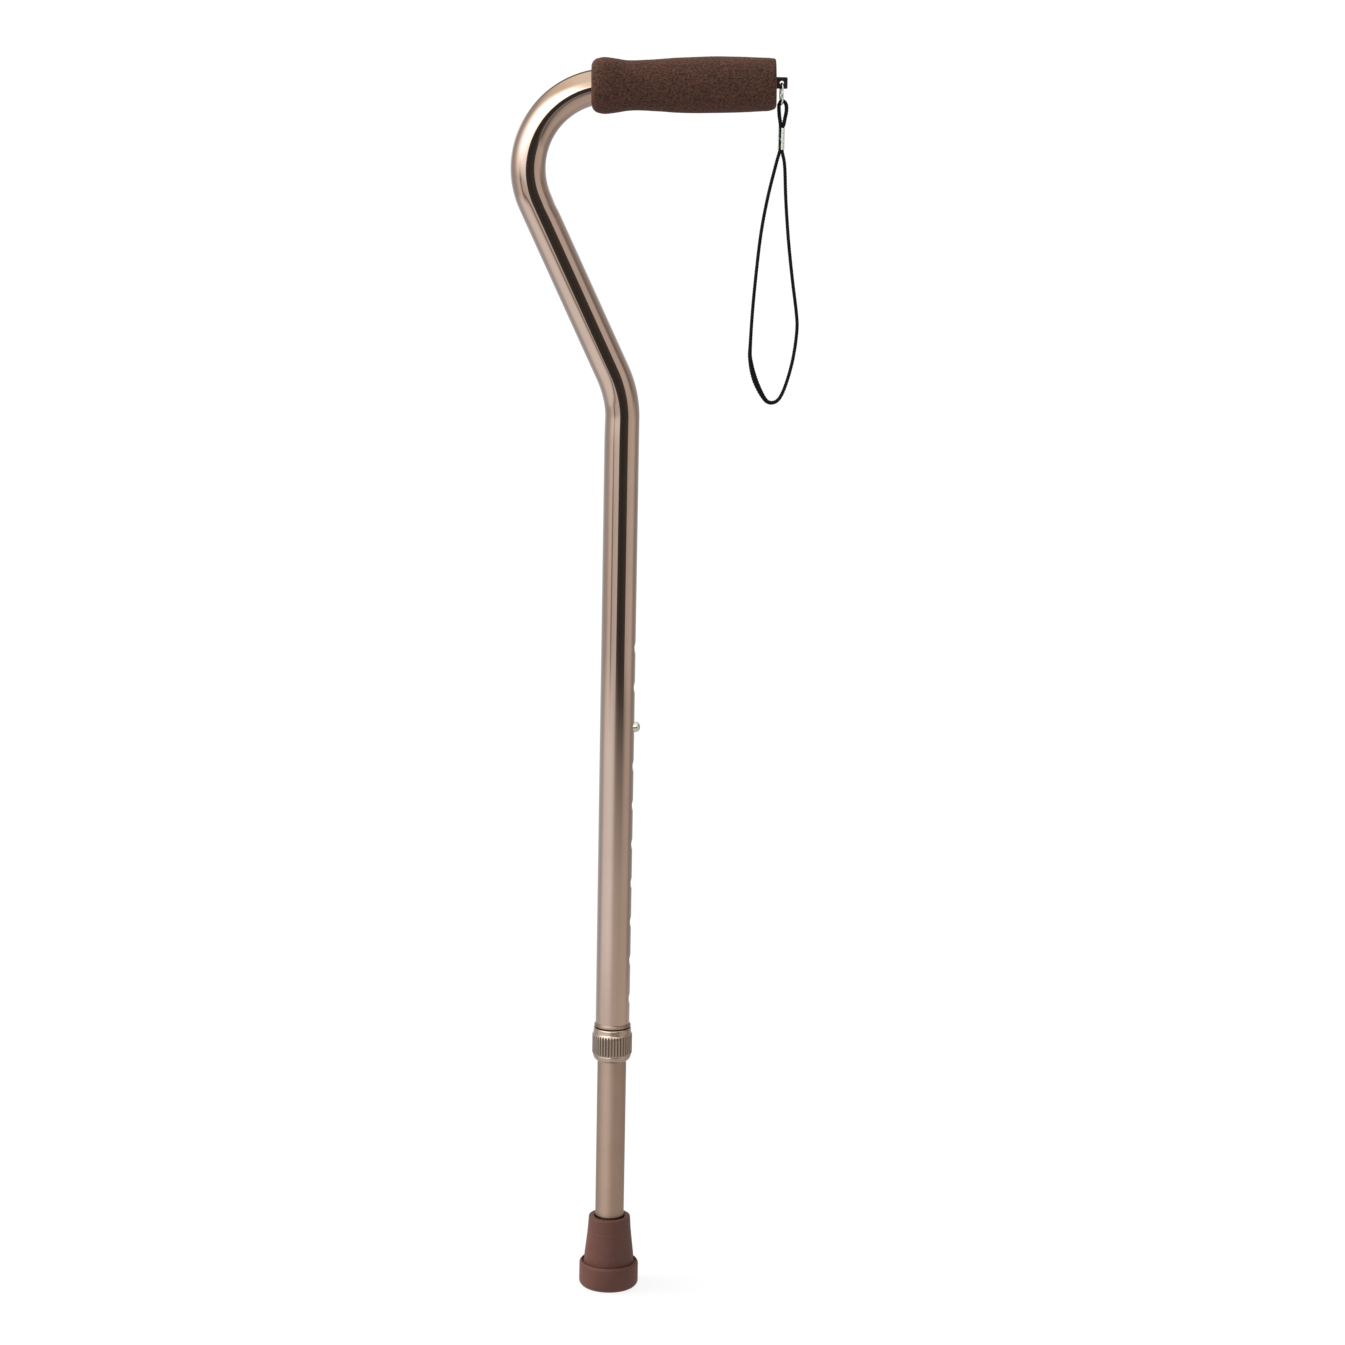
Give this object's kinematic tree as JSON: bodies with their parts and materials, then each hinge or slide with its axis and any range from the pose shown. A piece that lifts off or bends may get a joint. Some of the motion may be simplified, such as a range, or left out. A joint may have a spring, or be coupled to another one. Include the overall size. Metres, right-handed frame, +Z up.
{
  "type": "walking cane",
  "caption": "Height-adjustable walking cane with an offset handle, a foam grip, a telescoping shaft with a snap button and lock nut, a rubber foot and a wrist strap.",
  "frame": {"origin": "middle of the rubber tip's sole, on the floor under the shaft", "axes": "+Z up along the shaft, +X towards the front of the handle, +Y to the left side of a user who faces +X"},
  "size_m": [0.1782, 0.038, 0.7889],
  "materials": {
    "bronze_polished": "bright bronze anodised",
    "bronze_satin": "satin bronze anodised",
    "grip_foam": "matte closed-cell foam",
    "tip_rubber": "matte moulded",
    "plug_plastic": "moulded",
    "collet_nylon": "natural nylon",
    "nickel": "nickel plated",
    "steel": "plain",
    "cord": "twisted waxed cord"
  },
  "bodies": {
    "lower_leg": {"lower_tube": "bronze_satin", "rubber_tip": "tip_rubber", "tip_washer": "steel", "button_spring": "steel"},
    "upper_frame": {"handle_tube": "bronze_polished", "collar_ring": "bronze_polished", "foam_grip": "grip_foam", "handle_plug": "plug_plastic"},
    "snap_button": {"snap_button": "nickel"},
    "collet": {"collet": "collet_nylon"},
    "lock_nut": {"lock_nut": "bronze_satin"},
    "strap_ring": {"strap_ring": "nickel"},
    "wrist_strap": {"wrist_cord": "cord", "cord_ferrule": "nickel"}
  },
  "joints": [
    {"name": "height_adjust", "type": "slide", "parent": "lower_leg", "child": "upper_frame", "axis": [0, 0, 1], "range_m": [-0.0508, 0.1778], "deforming": ["snap_button"]},
    {"name": "button_press", "type": "slide", "parent": "lower_leg", "child": "snap_button", "axis": [-1, 0, 0], "range_m": [0, 0.0052], "stiffness_N_per_m": 1500, "springref_m": -0.002, "deforming": ["button_spring"]},
    {"name": "collet_slide", "type": "slide", "parent": "upper_frame", "child": "collet", "axis": [0, 0, -1], "range_m": [0, 0.0023]},
    {"name": "nut_turn", "type": "hinge", "parent": "collet", "child": "lock_nut", "pos_m": [0, 0, 0.1635], "axis": [0, 0, -1], "range_deg": [0, 540]},
    {"name": "ring_swing", "type": "hinge", "parent": "upper_frame", "child": "strap_ring", "pos_m": [0.0938, 0, 0.7733], "axis": [0, -1, 0], "range_deg": [-1, 100]},
    {"name": "strap_swing", "type": "hinge", "parent": "strap_ring", "child": "wrist_strap", "pos_m": [0.0938, 0, 0.76697], "axis": [1, 0, 0], "range_deg": [-60, 60]}
  ],
  "couplings": [
    {"joint": "collet_slide", "follows": "nut_turn", "m_per_rad": 0.00023873}
  ]
}
